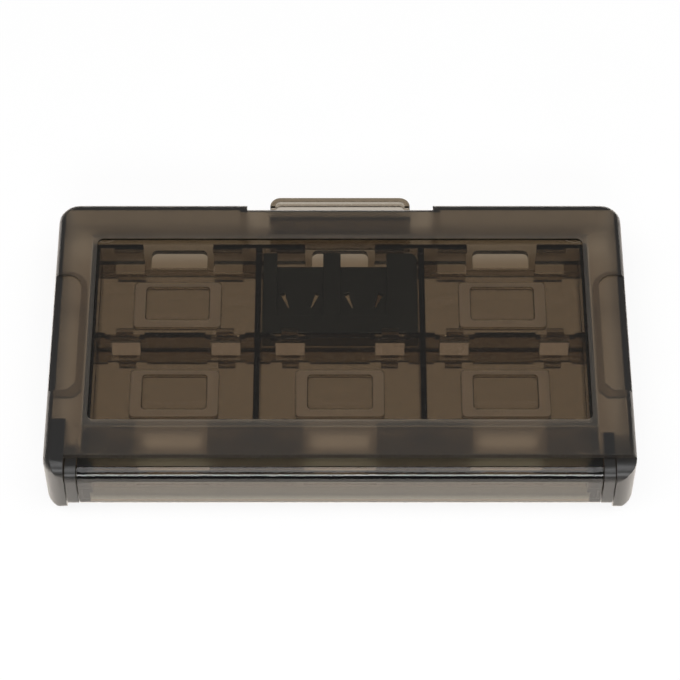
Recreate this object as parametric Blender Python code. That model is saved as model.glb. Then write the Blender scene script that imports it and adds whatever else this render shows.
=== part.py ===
"""A see-through memory card case: a two-faced card tray between two covers that swing on one hinge line.

Every solid is laid out from the hinge line. X runs along it, Y from it towards the finger tab, and Z
up from the parting plane at half height. Lengths are in metres.
"""

import math

import bmesh
import bpy
from mathutils import Matrix, Vector

# Clearances
TOUCH_GAP = 0.0003
SWING_GAP = 0.0003
LATCH_GAP = 0.0005
OVERRUN = 0.0020
OVERLAP = 0.0005

# Card tray, across the case
COLUMNS = 3
CELL_WIDTH = 0.0386
DIVIDER = 0.0015
SIDE_WALL = 0.0018

# Card tray, from the hinge line to the rear
SPINE_REACH = 0.0046
SPINE_DEPTH = 0.0061
SPINE_WALL = 0.0015
LEDGE_LENGTH = 0.0092
ROW_WALL = 0.0012
CELL_LENGTH = 0.02475
RIB = 0.0015
SHELF_LENGTH = 0.0087
LATCH_PLATE = 0.0012
LATCH_RISE = 0.0065

# Card tray, up from the parting plane
FLOOR = 0.0015
CELL_RISE = 0.00615
RIB_DROP = 0.00065
LEDGE_PLATE = 0.0012
FLOOR_START = 0.0046

# Finger holes and the gaps in the row walls behind them
FINGER_HOLE_WIDTH = 0.0140
FINGER_HOLE_LENGTH = 0.0053
FINGER_HOLE_RADIUS = 0.0015
FINGER_HOLE_SETBACK = 0.00155
WALL_GAP_WIDTH = 0.0174

# Lugs and hooks that hold the cards' corners, and the core holes under them
LUG_OFFSET = 0.0122
LUG_WIDTH = 0.0072
LUG_REACH = 0.0010
LUG_RISE = 0.0009
CORE_HOLE_LENGTH = 0.0029
HOOK_WIDTH = 0.0042
HOOK_REACH = 0.0008
HOOK_SLOT_WIDTH = 0.0027
HOOK_SLOT_FOOT = 0.0054
HOOK_ARCH_RISE = 0.0039
POCKET_REACH = 0.0031
POCKET_WEB = 0.0005

# Finger tab
TAB_HALF_WIDTH = 0.01765
TAB_PLATE = 0.0012
TAB_REACH = 0.0072
TAB_RADIUS = 0.0026
TAB_LIP = 0.0013
TAB_LIP_RISE = 0.0008

# Covers
COVER_WALL = 0.0018
COVER_PLATE = 0.0014
COVER_SETBACK = 0.0003
PLAN_RADIUS = 0.0050
RIM_RADIUS = 0.0020
RECESS_HALF_WIDTH = 0.0232
RECESS_DEPTH = 0.0013
RECESS_WALL = 0.0011

# Windows
PANEL = 0.0008
WINDOW_LIP = 0.0007
WINDOW_LEDGE = 0.0012
WINDOW_SIDE_INSET = 0.0012
WINDOW_FRONT_LAP = 0.0003
WINDOW_REAR_LAP = 0.0005
WINDOW_RADIUS = 0.0015

# Grip shoulders
GRIP_LENGTH = 0.0337
GRIP_START = 0.0185
GRIP_WIDTH = 0.0067
GRIP_DEPTH = 0.0010
GRIP_REAR_RADIUS = 0.0035
GRIP_FRONT_CHAMFER = 0.0020

# Hinge
SPINE_OVERHANG = 0.0007
SPINE_DROP = 0.0006
KNUCKLE_WIDTH = 0.0026
EAR_WIDTH = 0.0049
EAR_SLACK = 0.0001
EAR_FOOT_GAP = 0.00005
PIN_RADIUS = 0.0015
PIN_SEAT = 0.0026
BOSS_RADIUS = 0.0033
BOSS_LENGTH = 0.0033

# Card adapter
ADAPTER_REAR_GAP = 0.0041
ADAPTER_TOP_WALL = 0.0012
ADAPTER_SIDE_WALL = 0.0012
BAY_WIDTH = 0.01135
BAY_LENGTH = 0.0152
BAY_DEPTH = 0.0010
MIDDLE_PRONG_WIDTH = 0.0043
MIDDLE_PRONG_OFFSET = -0.0020
PRONG_PLATE = 0.0012
PRONG_REAR_GAP = 0.0006
PRONG_CORNER_RADIUS = 0.0020
SLIT_SPREAD = 0.0035
SLIT_LENGTH = 0.0046
SLIT_REAR_WIDTH = 0.0013
SLIT_TIP_WIDTH = 0.0003
SLIT_START = 0.0078
SLIT_LEAN = math.radians(20.0)

# Roundings: facets on a full turn of a pin, and steps on a quarter turn of an edge
PIN_FACETS = 24
SWING_FACETS = 64
CORNER_STEPS = 6
RIM_STEPS = 4
SMOOTH_ANGLE = math.radians(32.0)

# Tray sizes worked out from the cells
TRAY_HALF_WIDTH = COLUMNS * CELL_WIDTH / 2 + (COLUMNS - 1) * DIVIDER / 2 + SIDE_WALL
COLUMN_PITCH = CELL_WIDTH + DIVIDER
FRONT_CELL_START = LEDGE_LENGTH + ROW_WALL
RIB_START = FRONT_CELL_START + CELL_LENGTH
REAR_CELL_START = RIB_START + RIB
REAR_CELL_END = REAR_CELL_START + CELL_LENGTH
ROWS_END = REAR_CELL_END + ROW_WALL
FLOOR_END = ROWS_END + SHELF_LENGTH
RIB_CENTRE = RIB_START + RIB / 2
FLOOR_TOP = FLOOR / 2
TRAY_TOP = FLOOR_TOP + CELL_RISE
RIB_TOP = TRAY_TOP - RIB_DROP

# Cover sizes worked out from the tray
HALF_HEIGHT = TRAY_TOP + TOUCH_GAP + PANEL + TOUCH_GAP + WINDOW_LIP
PLATE_UNDERSIDE = HALF_HEIGHT - COVER_PLATE
PARTING = TOUCH_GAP / 2
COVER_FRONT = COVER_SETBACK
RECESS_FLOOR = FLOOR_END + LATCH_GAP + RECESS_WALL
COVER_REAR = RECESS_FLOOR + RECESS_DEPTH
TAB_END = COVER_REAR + TAB_REACH
SPINE_HALF_WIDTH = TRAY_HALF_WIDTH + SPINE_OVERHANG
SPINE_TOP = PLATE_UNDERSIDE - SPINE_DROP
KNUCKLE_START = SPINE_HALF_WIDTH + SWING_GAP
KNUCKLE_END = KNUCKLE_START + KNUCKLE_WIDTH
EAR_START = KNUCKLE_END + SWING_GAP
HALF_WIDTH = EAR_START + EAR_WIDTH
CAVITY_HALF_WIDTH = HALF_WIDTH - COVER_WALL
CAVITY_REAR = COVER_REAR - COVER_WALL

# Radii about the hinge line that keep each piece clear of the next when the covers swing
LID_SWEEP = math.hypot(COVER_FRONT, PLATE_UNDERSIDE)
INNER_SWING = LID_SWEEP - SWING_GAP
EAR_SWING = HALF_HEIGHT + EAR_SLACK
CAVITY_FRONT = EAR_SWING + COVER_WALL
LOW_EAR_REACH = HALF_HEIGHT - EAR_FOOT_GAP
NESTED_EAR_REACH = PLATE_UNDERSIDE - SWING_GAP

# Windows worked out from the tray below them
WINDOW_HALF_WIDTH = TRAY_HALF_WIDTH - WINDOW_SIDE_INSET
WINDOW_START = FRONT_CELL_START - WINDOW_FRONT_LAP
WINDOW_END = ROWS_END + WINDOW_REAR_LAP
PANEL_TOP = HALF_HEIGHT - WINDOW_LIP - TOUCH_GAP

# Where the hinge line lies in the finished case
CASE_DEPTH = SPINE_REACH + TAB_END
HINGE_PLACE = Vector((0, SPINE_REACH - CASE_DEPTH / 2, HALF_HEIGHT))

PARTS = "memory_card_case"
CUTTERS = "cutters"


def clear_scene():
    """Removes every object, and the collections of an earlier run."""
    for thing in list(bpy.data.objects):
        bpy.data.objects.remove(thing, do_unlink=True)
    for group in list(bpy.data.collections):
        bpy.data.collections.remove(group)


def new_collection(name, parent=None):
    """Makes a collection below the scene's own, or below another."""
    group = bpy.data.collections.new(name)
    (parent or bpy.context.scene.collection).children.link(group)
    return group


def make_material(name, colour, roughness, alpha=1.0):
    """Makes a plastic with one Principled shader."""
    material = bpy.data.materials.new(name)
    material.use_nodes = True
    shader = material.node_tree.nodes["Principled BSDF"]
    shader.inputs["Base Color"].default_value = (*colour, 1.0)
    shader.inputs["Roughness"].default_value = roughness
    shader.inputs["Metallic"].default_value = 0.0
    shader.inputs["Alpha"].default_value = alpha
    return material


def corner_radius(reach, rise, swing):
    """The smallest rounding that brings the corner of a reach by rise block inside a swing radius."""
    spare = reach + rise - swing
    square = reach ** 2 + rise ** 2 - swing ** 2
    if square <= 0:
        return OVERLAP
    return min(spare - math.sqrt(max(spare ** 2 - square, 0)), reach)


def straight_edges(shape, middle, signs):
    """Finds the edges of a block that lie on the side that the signs name, zero along the edge."""
    found = []
    for edge in shape.edges:
        centre = (edge.verts[0].co + edge.verts[1].co) / 2 - middle
        run = edge.verts[1].co - edge.verts[0].co
        along = signs.index(0)
        if abs(run[along]) < run.length * 0.999:
            continue
        others = [axis for axis in range(3) if axis != along]
        if all(centre[axis] * signs[axis] > 0 for axis in others):
            found.append(edge)
    return found


def round_edges(shape, edges, radius, steps):
    """Rounds some edges of a shape with an arc of a few steps."""
    bmesh.ops.bevel(shape, geom=edges, offset=radius, segments=steps, profile=0.5, affect="EDGES")


def add_object(name, shape, group, hinge):
    """Turns a bmesh into an object that hangs from a hinge empty."""
    mesh = bpy.data.meshes.new(name)
    bmesh.ops.recalc_face_normals(shape, faces=shape.faces)
    shape.to_mesh(mesh)
    shape.free()
    thing = bpy.data.objects.new(name, mesh)
    group.objects.link(thing)
    thing.parent = hinge
    return thing


def block(name, low, high, group, hinge, corners=(), rim=0, steps=CORNER_STEPS):
    """Makes a box from its low to its high corner, with named straight edges and then its rims rounded.

    Each corner is the signs of one straight edge, zero along it, with its radius. The rim is the
    radius of every edge round the top and bottom faces.
    """
    low = Vector(low)
    high = Vector(high)
    shape = bmesh.new()
    bmesh.ops.create_cube(shape, size=1.0)
    for vert in shape.verts:
        vert.co = [high[axis] if vert.co[axis] > 0 else low[axis] for axis in range(3)]
    middle = (low + high) / 2
    for signs, radius in corners:
        round_edges(shape, straight_edges(shape, middle, signs), radius, steps)
    if rim:
        flat = [face for face in shape.faces if abs(face.normal.z) > 0.999]
        round_edges(shape, list({edge for face in flat for edge in face.edges}), rim, RIM_STEPS)
    return add_object(name, shape, group, hinge)


def rod(name, radius, start, end, group, hinge, facets=PIN_FACETS):
    """Makes a round bar on the hinge line between two places along X."""
    shape = bmesh.new()
    bmesh.ops.create_cone(
        shape, cap_ends=True, segments=facets, radius1=radius, radius2=radius, depth=end - start
    )
    bmesh.ops.rotate(shape, cent=(0, 0, 0), matrix=Matrix.Rotation(math.pi / 2, 3, "Y"), verts=shape.verts)
    bmesh.ops.translate(shape, vec=((start + end) / 2, 0, 0), verts=shape.verts)
    return add_object(name, shape, group, hinge)


def combine(target, operation, tools, label):
    """Cuts from a piece, or joins to it, everything in one collection of tools."""
    change = target.modifiers.new(label, "BOOLEAN")
    change.operation = operation
    change.solver = "EXACT"
    change.operand_type = "COLLECTION"
    change.collection = tools


def keep_inside(target, tool, label):
    """Keeps only the part of a piece that lies inside one tool."""
    change = target.modifiers.new(label, "BOOLEAN")
    change.operation = "INTERSECT"
    change.solver = "EXACT"
    change.object = tool


def finish(piece, material):
    """Gives a piece its plastic and its smooth shading."""
    piece.data.materials.append(material)
    piece.data.shade_smooth()
    piece.data.set_sharp_from_angle(angle=SMOOTH_ANGLE)


def hinge_empty(name, group, turned=False):
    """Makes an empty on the hinge line, turned half round Y for pieces that face down."""
    empty = bpy.data.objects.new(name, None)
    empty.location = HINGE_PLACE
    empty.rotation_euler = (0, math.pi if turned else 0, 0)
    group.objects.link(empty)
    return empty


def both_faces(low, high):
    """The upper box, and the same box below the parting plane."""
    yield low, high
    yield (low[0], low[1], -high[2]), (high[0], high[1], -low[2])


def column_centres():
    """The places of the cell columns along X."""
    return [(index - (COLUMNS - 1) / 2) * COLUMN_PITCH for index in range(COLUMNS)]


def cell_rows():
    """Each row of cells: its start, its end, the row wall's outer face and the side that wall is on."""
    yield FRONT_CELL_START, RIB_START, LEDGE_LENGTH, -1
    yield REAR_CELL_START, REAR_CELL_END, ROWS_END, 1


def knuckle_blocks(group, hinge):
    """The round hinge knuckle at a cover's right end, and the web that carries it from the plate."""
    nose = corner_radius(SPINE_REACH, SPINE_TOP, INNER_SWING)
    block("knuckle_front", (KNUCKLE_START, -SPINE_REACH, -SPINE_TOP), (KNUCKLE_END, OVERLAP, SPINE_TOP),
          group, hinge, corners=[((0, -1, 1), nose), ((0, -1, -1), nose)])
    block("knuckle_back", (KNUCKLE_START, -OVERLAP, -SPINE_TOP), (KNUCKLE_END, SPINE_TOP, OVERLAP),
          group, hinge, corners=[((0, 1, -1), SPINE_TOP)], steps=SWING_FACETS // 4)
    block("knuckle_web", (KNUCKLE_START, COVER_FRONT, 0),
          (KNUCKLE_END, SPINE_TOP, PLATE_UNDERSIDE + COVER_PLATE / 2), group, hinge)


def grip_block(name, side, outer, margin, foot, top, group, hinge):
    """The plan of the shoulder at one side of a cover, with a margin round it, between two heights."""
    inner = HALF_WIDTH - GRIP_WIDTH - margin
    low = (min(side * inner, side * outer), GRIP_START - margin, foot)
    high = (max(side * inner, side * outer), GRIP_START + GRIP_LENGTH + margin, top)
    solid = block(name, low, high, group, hinge, corners=[((-side, 1, 0), GRIP_REAR_RADIUS + margin)])
    shape = bmesh.new()
    shape.from_mesh(solid.data)
    middle = (Vector(low) + Vector(high)) / 2
    round_edges(shape, straight_edges(shape, middle, (-side, -1, 0)), GRIP_FRONT_CHAMFER, 1)
    shape.to_mesh(solid.data)
    shape.free()


def build_cover(name, hinge, parts, cutters, ear_reach, mate_radius, material):
    """One cover, open side down, with its full-height ear at the left and its knuckle at the right."""
    plan = [((x, y, 0), PLAN_RADIUS) for x in (-1, 1) for y in (-1, 1)]
    cover = block(name, (-HALF_WIDTH, -SPINE_REACH, -HALF_HEIGHT), (HALF_WIDTH, COVER_REAR, HALF_HEIGHT),
                  parts, hinge, corners=plan, rim=RIM_RADIUS)

    shapers = new_collection(name + "_shapers", cutters)
    near_nose = corner_radius(SPINE_REACH, HALF_HEIGHT, EAR_SWING)
    far_nose = corner_radius(SPINE_REACH, ear_reach, ear_reach + EAR_SLACK)
    profile = block(name + "_profile", (-HALF_WIDTH - OVERRUN, -SPINE_REACH, -ear_reach),
                    (HALF_WIDTH + OVERRUN, COVER_REAR + OVERRUN, HALF_HEIGHT + OVERRUN), shapers, hinge,
                    corners=[((0, -1, -1), far_nose)])
    nose = block(name + "_nose", (-HALF_WIDTH - OVERRUN, -SPINE_REACH, -HALF_HEIGHT - OVERRUN),
                 (HALF_WIDTH + OVERRUN, COVER_REAR + OVERRUN, HALF_HEIGHT), shapers, hinge,
                 corners=[((0, -1, 1), near_nose)])
    keep_inside(cover, profile, "far_side")
    keep_inside(cover, nose, "nose")

    first = new_collection(name + "_first_cuts", cutters)
    left = -HALF_WIDTH - OVERRUN
    right = HALF_WIDTH + OVERRUN
    back = COVER_REAR + OVERRUN
    block("below_parting", (-EAR_START, -SPINE_REACH - OVERRUN, -HALF_HEIGHT - OVERRUN),
          (right, back, PARTING), first, hinge)
    block("ahead_of_cover", (-EAR_START, -SPINE_REACH - OVERRUN, 0),
          (right, COVER_FRONT, HALF_HEIGHT + OVERRUN), first, hinge)
    behind = block("behind_ear", (left, 0, -HALF_HEIGHT - OVERRUN),
                   (OVERLAP - EAR_START, back, PARTING), first, hinge)
    ear_round = new_collection(name + "_ear_round", cutters)
    rod("ear_disc", ear_reach, left - OVERRUN, OVERRUN - EAR_START, ear_round, hinge, SWING_FACETS)
    combine(behind, "DIFFERENCE", ear_round, "ear_disc")
    block("main_cavity", (-CAVITY_HALF_WIDTH, CAVITY_FRONT, -HALF_HEIGHT),
          (CAVITY_HALF_WIDTH, CAVITY_REAR, PLATE_UNDERSIDE), first, hinge)
    block("front_cavity", (-EAR_START, -SPINE_REACH - OVERRUN, -HALF_HEIGHT),
          (CAVITY_HALF_WIDTH, CAVITY_FRONT + OVERLAP, PLATE_UNDERSIDE), first, hinge)
    rod("mating_ear", mate_radius, KNUCKLE_END, right, first, hinge, SWING_FACETS)
    window_corners = [((x, y, 0), WINDOW_RADIUS) for x in (-1, 1) for y in (-1, 1)]
    block("window", (-WINDOW_HALF_WIDTH, WINDOW_START, 0),
          (WINDOW_HALF_WIDTH, WINDOW_END, HALF_HEIGHT + OVERRUN), first, hinge, corners=window_corners)
    margin = WINDOW_LEDGE + TOUCH_GAP
    block("rebate", (-WINDOW_HALF_WIDTH - margin, WINDOW_START - margin, 0),
          (WINDOW_HALF_WIDTH + margin, WINDOW_END + margin, HALF_HEIGHT - WINDOW_LIP), first, hinge)
    combine(cover, "DIFFERENCE", first, "first_cuts")

    added = new_collection(name + "_added", cutters)
    knuckle_blocks(added, hinge)
    grip_floor = HALF_HEIGHT - GRIP_DEPTH
    for side in (-1, 1):
        grip_block("grip_backing", side, HALF_WIDTH - COVER_WALL / 2, COVER_PLATE, grip_floor - COVER_PLATE,
                   PLATE_UNDERSIDE + COVER_PLATE / 2, added, hinge)
    block("recess_backing", (-RECESS_HALF_WIDTH - COVER_WALL, RECESS_FLOOR - RECESS_WALL, PARTING),
          (RECESS_HALF_WIDTH + COVER_WALL, COVER_REAR - COVER_WALL / 2, PLATE_UNDERSIDE + COVER_PLATE / 2),
          added, hinge)
    combine(cover, "UNION", added, "added")

    last = new_collection(name + "_last_cuts", cutters)
    recess = block("rear_recess", (-RECESS_HALF_WIDTH, RECESS_FLOOR - RIM_RADIUS, -HALF_HEIGHT),
                   (RECESS_HALF_WIDTH, back, HALF_HEIGHT + OVERRUN), last, hinge)
    recess_round = new_collection(name + "_recess_round", cutters)
    block("recess_rim", (-RECESS_HALF_WIDTH - OVERRUN, COVER_FRONT, -HALF_HEIGHT - OVERRUN),
          (RECESS_HALF_WIDTH + OVERRUN, RECESS_FLOOR, HALF_HEIGHT), recess_round, hinge,
          corners=[((0, 1, 1), RIM_RADIUS)])
    combine(recess, "DIFFERENCE", recess_round, "recess_rim")
    for side in (-1, 1):
        grip_block("grip", side, HALF_WIDTH + OVERRUN, 0, grip_floor, HALF_HEIGHT + OVERRUN, last, hinge)
    slot = TAB_HALF_WIDTH + TOUCH_GAP
    block("tab_slot", (-slot, RECESS_FLOOR - RECESS_WALL - OVERLAP, -HALF_HEIGHT),
          (slot, back, TAB_PLATE / 2 + TOUCH_GAP), last, hinge)
    seat = EAR_START + PIN_SEAT + TOUCH_GAP
    rod("left_pin_seat", PIN_RADIUS + TOUCH_GAP, -seat, OVERRUN - EAR_START, last, hinge)
    rod("right_pin_hole", PIN_RADIUS + TOUCH_GAP, KNUCKLE_START - OVERRUN, KNUCKLE_END + OVERRUN, last, hinge)
    combine(cover, "DIFFERENCE", last, "last_cuts")
    finish(cover, material)
    return cover


def build_window(name, hinge, parts, material):
    """The polished panel that a cover's rebate holds."""
    half = WINDOW_HALF_WIDTH + WINDOW_LEDGE
    panel = block(name, (-half, WINDOW_START - WINDOW_LEDGE, PANEL_TOP - PANEL),
                  (half, WINDOW_END + WINDOW_LEDGE, PANEL_TOP), parts, hinge)
    finish(panel, material)
    return panel


def tray_body_blocks(group, hinge):
    """The shelf behind the cells, the spine bar, the latch plate and the finger tab with its lip."""
    block("shelf", (-TRAY_HALF_WIDTH, ROWS_END - OVERLAP, -FLOOR_TOP),
          (TRAY_HALF_WIDTH, FLOOR_END, FLOOR_TOP), group, hinge)
    nose = corner_radius(SPINE_REACH, SPINE_TOP, INNER_SWING)
    block("spine", (-SPINE_HALF_WIDTH, -SPINE_REACH, -SPINE_TOP),
          (SPINE_HALF_WIDTH, SPINE_DEPTH - SPINE_REACH, SPINE_TOP), group, hinge,
          corners=[((0, -1, 1), nose), ((0, -1, -1), nose)])
    block("latch_plate", (-TAB_HALF_WIDTH, FLOOR_END - LATCH_PLATE, -LATCH_RISE),
          (TAB_HALF_WIDTH, FLOOR_END, LATCH_RISE), group, hinge)
    round_end = [((-1, 1, 0), TAB_RADIUS), ((1, 1, 0), TAB_RADIUS)]
    block("tab", (-TAB_HALF_WIDTH, FLOOR_END - OVERLAP, -TAB_PLATE / 2),
          (TAB_HALF_WIDTH, TAB_END, TAB_PLATE / 2), group, hinge, corners=round_end)
    rise = TAB_PLATE / 2 + TAB_LIP_RISE
    block("tab_lip", (-TAB_HALF_WIDTH, TAB_END - TAB_RADIUS, -rise),
          (TAB_HALF_WIDTH, TAB_END, rise), group, hinge, corners=round_end)


def tray_cutters(group, hinge):
    """Everything that is cut from the tray: cells, wall gaps, holes, the spine's hollow and the tab."""
    top = TRAY_TOP + OVERRUN
    for centre in column_centres():
        left = centre - CELL_WIDTH / 2
        right = centre + CELL_WIDTH / 2
        for start, end, wall, side in cell_rows():
            for low, high in both_faces((left, start, FLOOR_TOP), (right, end, top)):
                block("cell", low, high, group, hinge)
            inner = wall - side * ROW_WALL
            outer = SPINE_DEPTH - SPINE_REACH + OVERLAP if side < 0 else wall + OVERLAP
            gap_low = (centre - WALL_GAP_WIDTH / 2, min(inner - side * OVERLAP, outer), FLOOR_TOP)
            gap_high = (centre + WALL_GAP_WIDTH / 2, max(inner - side * OVERLAP, outer), top)
            for low, high in both_faces(gap_low, gap_high):
                block("wall_gap", low, high, group, hinge)
            hole = [inner - side * FINGER_HOLE_SETBACK, 0]
            hole[1] = hole[0] + side * FINGER_HOLE_LENGTH
            far = [((x, side, 0), FINGER_HOLE_RADIUS) for x in (-1, 1)]
            block("finger_hole", (centre - FINGER_HOLE_WIDTH / 2, min(hole), -FLOOR),
                  (centre + FINGER_HOLE_WIDTH / 2, max(hole), FLOOR), group, hinge, corners=far)
            for offset in (-LUG_OFFSET, LUG_OFFSET):
                near = inner - side * CORE_HOLE_LENGTH
                block("lug_hole", (centre + offset - LUG_WIDTH / 2, min(near, inner), -FLOOR),
                      (centre + offset + LUG_WIDTH / 2, max(near, inner), FLOOR), group, hinge)
        for low, high in both_faces((left, RIB_START - OVERLAP, RIB_TOP),
                                    (right, REAR_CELL_START + OVERLAP, top)):
            rib_top_cutters(centre, low, high, group, hinge)
        for offset in (-LUG_OFFSET, LUG_OFFSET):
            hook_cutters(centre + offset, group, hinge)
    spine_cutters(group, hinge)
    inner_lip = [((x, 1, 0), TAB_RADIUS - TAB_LIP) for x in (-1, 1)]
    rise = TAB_PLATE / 2 + TAB_LIP_RISE + OVERRUN
    for low, high in both_faces((TAB_LIP - TAB_HALF_WIDTH, COVER_REAR, TAB_PLATE / 2),
                                (TAB_HALF_WIDTH - TAB_LIP, TAB_END - TAB_LIP, rise)):
        block("lip_hollow", low, high, group, hinge, corners=inner_lip)


def rib_top_cutters(centre, low, high, group, hinge):
    """Lowers the rib between and beside its two hooks in one column."""
    half = HOOK_WIDTH / 2
    stops = [low[0], centre - LUG_OFFSET - half, centre - LUG_OFFSET + half]
    stops += [centre + LUG_OFFSET - half, centre + LUG_OFFSET + half, high[0]]
    for start, end in zip(stops[::2], stops[1::2]):
        block("rib_top", (start, low[1], low[2]), (end, high[1], high[2]), group, hinge)


def hook_cutters(place, group, hinge):
    """Frees one hook pair from the rib: notches beside it, and an arch over a pocket in the floor."""
    front = RIB_START - OVERLAP
    back = REAR_CELL_START + OVERLAP
    for side in (-1, 1):
        near = place + side * HOOK_WIDTH / 2
        far = near + side * HOOK_SLOT_WIDTH
        slot = ((min(near, far), front, HOOK_SLOT_FOOT), (max(near, far), back, TRAY_TOP + OVERRUN))
        for low, high in both_faces(*slot):
            block("hook_slot", low, high, group, hinge)
    half = LUG_WIDTH / 2
    foot = POCKET_WEB / 2
    for low, high in both_faces((place - half, front, foot), (place + half, back, HOOK_ARCH_RISE)):
        block("hook_arch", low, high, group, hinge)
    for low, high in both_faces((place - half, RIB_CENTRE - POCKET_REACH, foot),
                                (place + half, RIB_CENTRE + POCKET_REACH, FLOOR)):
        block("hook_pocket", low, high, group, hinge)


def spine_cutters(group, hinge):
    """Hollows the spine and the ledges behind it, and keeps the floor out of the spine."""
    reach = TRAY_HALF_WIDTH - SIDE_WALL
    front = SPINE_WALL - SPINE_REACH
    roof = TRAY_TOP - LEDGE_PLATE
    for low, high in both_faces((-reach, front, FLOOR_TOP), (reach, LEDGE_LENGTH, roof)):
        block("spine_hollow", low, high, group, hinge)
    block("spine_throat", (-reach, front, -roof), (reach, FLOOR_START, roof), group, hinge)


def tray_details(group, hinge):
    """The lugs on the row walls and the hooks on the rib, on both faces."""
    lug_foot = TRAY_TOP - LUG_RISE
    for centre in column_centres():
        for offset in (-LUG_OFFSET, LUG_OFFSET):
            place = centre + offset
            for _, _, wall, side in cell_rows():
                inner = wall - side * ROW_WALL
                ends = (inner - side * LUG_REACH, inner + side * OVERLAP)
                for low, high in both_faces((place - LUG_WIDTH / 2, min(ends), lug_foot),
                                            (place + LUG_WIDTH / 2, max(ends), TRAY_TOP)):
                    block("lug", low, high, group, hinge)
            reach = RIB / 2 + HOOK_REACH
            for low, high in both_faces((place - HOOK_WIDTH / 2, RIB_CENTRE - reach, lug_foot),
                                        (place + HOOK_WIDTH / 2, RIB_CENTRE + reach, TRAY_TOP)):
                block("hook", low, high, group, hinge)
    for side in (-1, 1):
        ends = (side * (SPINE_HALF_WIDTH - BOSS_LENGTH), side * (SPINE_HALF_WIDTH - SPINE_WALL + OVERLAP))
        rod("pin_boss", BOSS_RADIUS, min(ends), max(ends), group, hinge)


def build_tray(hinge, parts, cutters, material):
    """The two-faced card tray with its spine bar, latch plate and finger tab, as one moulding."""
    tray = block("card_tray", (-TRAY_HALF_WIDTH, SPINE_DEPTH - SPINE_REACH - OVERLAP, -TRAY_TOP),
                 (TRAY_HALF_WIDTH, ROWS_END, TRAY_TOP), parts, hinge)
    body = new_collection("tray_body", cutters)
    tray_body_blocks(body, hinge)
    combine(tray, "UNION", body, "body")
    cuts = new_collection("tray_cuts", cutters)
    tray_cutters(cuts, hinge)
    combine(tray, "DIFFERENCE", cuts, "cuts")
    details = new_collection("tray_details", cutters)
    tray_details(details, hinge)
    combine(tray, "UNION", details, "details")
    holes = new_collection("tray_pin_holes", cutters)
    for side in (-1, 1):
        ends = (side * (SPINE_HALF_WIDTH - BOSS_LENGTH - OVERRUN), side * (SPINE_HALF_WIDTH + OVERRUN))
        rod("pin_hole", PIN_RADIUS + TOUCH_GAP, min(ends), max(ends), holes, hinge)
    combine(tray, "DIFFERENCE", holes, "pin_holes")
    finish(tray, material)
    return tray


def build_pin(name, side, hinge, parts, material):
    """A hinge pin through the spine's end and a knuckle into an ear."""
    ends = (side * (SPINE_HALF_WIDTH - BOSS_LENGTH + TOUCH_GAP), side * (EAR_START + PIN_SEAT))
    pin = rod(name, PIN_RADIUS, min(ends), max(ends), parts, hinge)
    finish(pin, material)
    return pin


def slanted_slit(name, place, lean, group, hinge, low, high):
    """One spring slit through a bay's floor, leaning in plan and narrowing to its front end."""
    shape = bmesh.new()
    bmesh.ops.create_cube(shape, size=1.0)
    size = Matrix.Diagonal((SLIT_REAR_WIDTH, SLIT_LENGTH, high - low, 1.0))
    bmesh.ops.transform(shape, matrix=size, verts=shape.verts)
    tip = [vert for vert in shape.verts if vert.co.y < 0]
    bmesh.ops.scale(shape, vec=(SLIT_TIP_WIDTH / SLIT_REAR_WIDTH, 1, 1), verts=tip)
    bmesh.ops.rotate(shape, cent=(0, 0, 0), matrix=Matrix.Rotation(lean, 3, "Z"), verts=shape.verts)
    bmesh.ops.translate(shape, vec=(*place, (low + high) / 2), verts=shape.verts)
    return add_object(name, shape, group, hinge)


def build_adapter(hinge, parts, cutters, material):
    """The opaque adapter for two small cards, in the rear middle cell of the upper face."""
    half = CELL_WIDTH / 2 - TOUCH_GAP
    low = FLOOR_TOP + TOUCH_GAP
    top = TRAY_TOP - LUG_RISE - TOUCH_GAP
    front = REAR_CELL_START + TOUCH_GAP
    back = REAR_CELL_END - ADAPTER_REAR_GAP
    prong_end = REAR_CELL_END - PRONG_REAR_GAP
    adapter = block("card_adapter", (-half, front, low), (half, back, top), parts, hinge)

    middle = (MIDDLE_PRONG_OFFSET - MIDDLE_PRONG_WIDTH / 2, MIDDLE_PRONG_OFFSET + MIDDLE_PRONG_WIDTH / 2)
    bays = [(middle[0] - BAY_WIDTH, middle[0]), (middle[1], middle[1] + BAY_WIDTH)]
    prongs = new_collection("adapter_prongs", cutters)
    edges = [(-half, bays[0][0]), middle, (bays[1][1], half)]
    for index, (left, right) in enumerate(edges):
        last = index == len(edges) - 1
        corners = [((1, 1, 0), PRONG_CORNER_RADIUS)] if last else []
        block("prong", (left, back - OVERLAP, top - PRONG_PLATE), (right, prong_end, top), prongs, hinge,
              corners=corners)
    combine(adapter, "UNION", prongs, "prongs")

    cuts = new_collection("adapter_cuts", cutters)
    bay_floor = top - BAY_DEPTH
    hollow_top = bay_floor - ADAPTER_TOP_WALL
    block("underside", (ADAPTER_SIDE_WALL - half, front + ADAPTER_SIDE_WALL, low - OVERRUN),
          (half - ADAPTER_SIDE_WALL, back - ADAPTER_SIDE_WALL, hollow_top), cuts, hinge)
    for left, right in bays:
        block("bay", (left, back - BAY_LENGTH, bay_floor), (right, back + OVERLAP, top + OVERRUN),
              cuts, hinge)
        for side in (-1, 1):
            place = ((left + right) / 2 + side * SLIT_SPREAD, back - SLIT_START - SLIT_LENGTH / 2)
            slanted_slit("slit", place, -side * SLIT_LEAN, cuts, hinge, hollow_top - OVERRUN, top + OVERRUN)
    combine(adapter, "DIFFERENCE", cuts, "cuts")
    finish(adapter, material)
    return adapter


def hide_cutters(group):
    """Marks every tool as a guide that is never drawn as part of the case."""
    for thing in group.all_objects:
        thing.hide_render = True
        thing.display_type = "WIRE"


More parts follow.
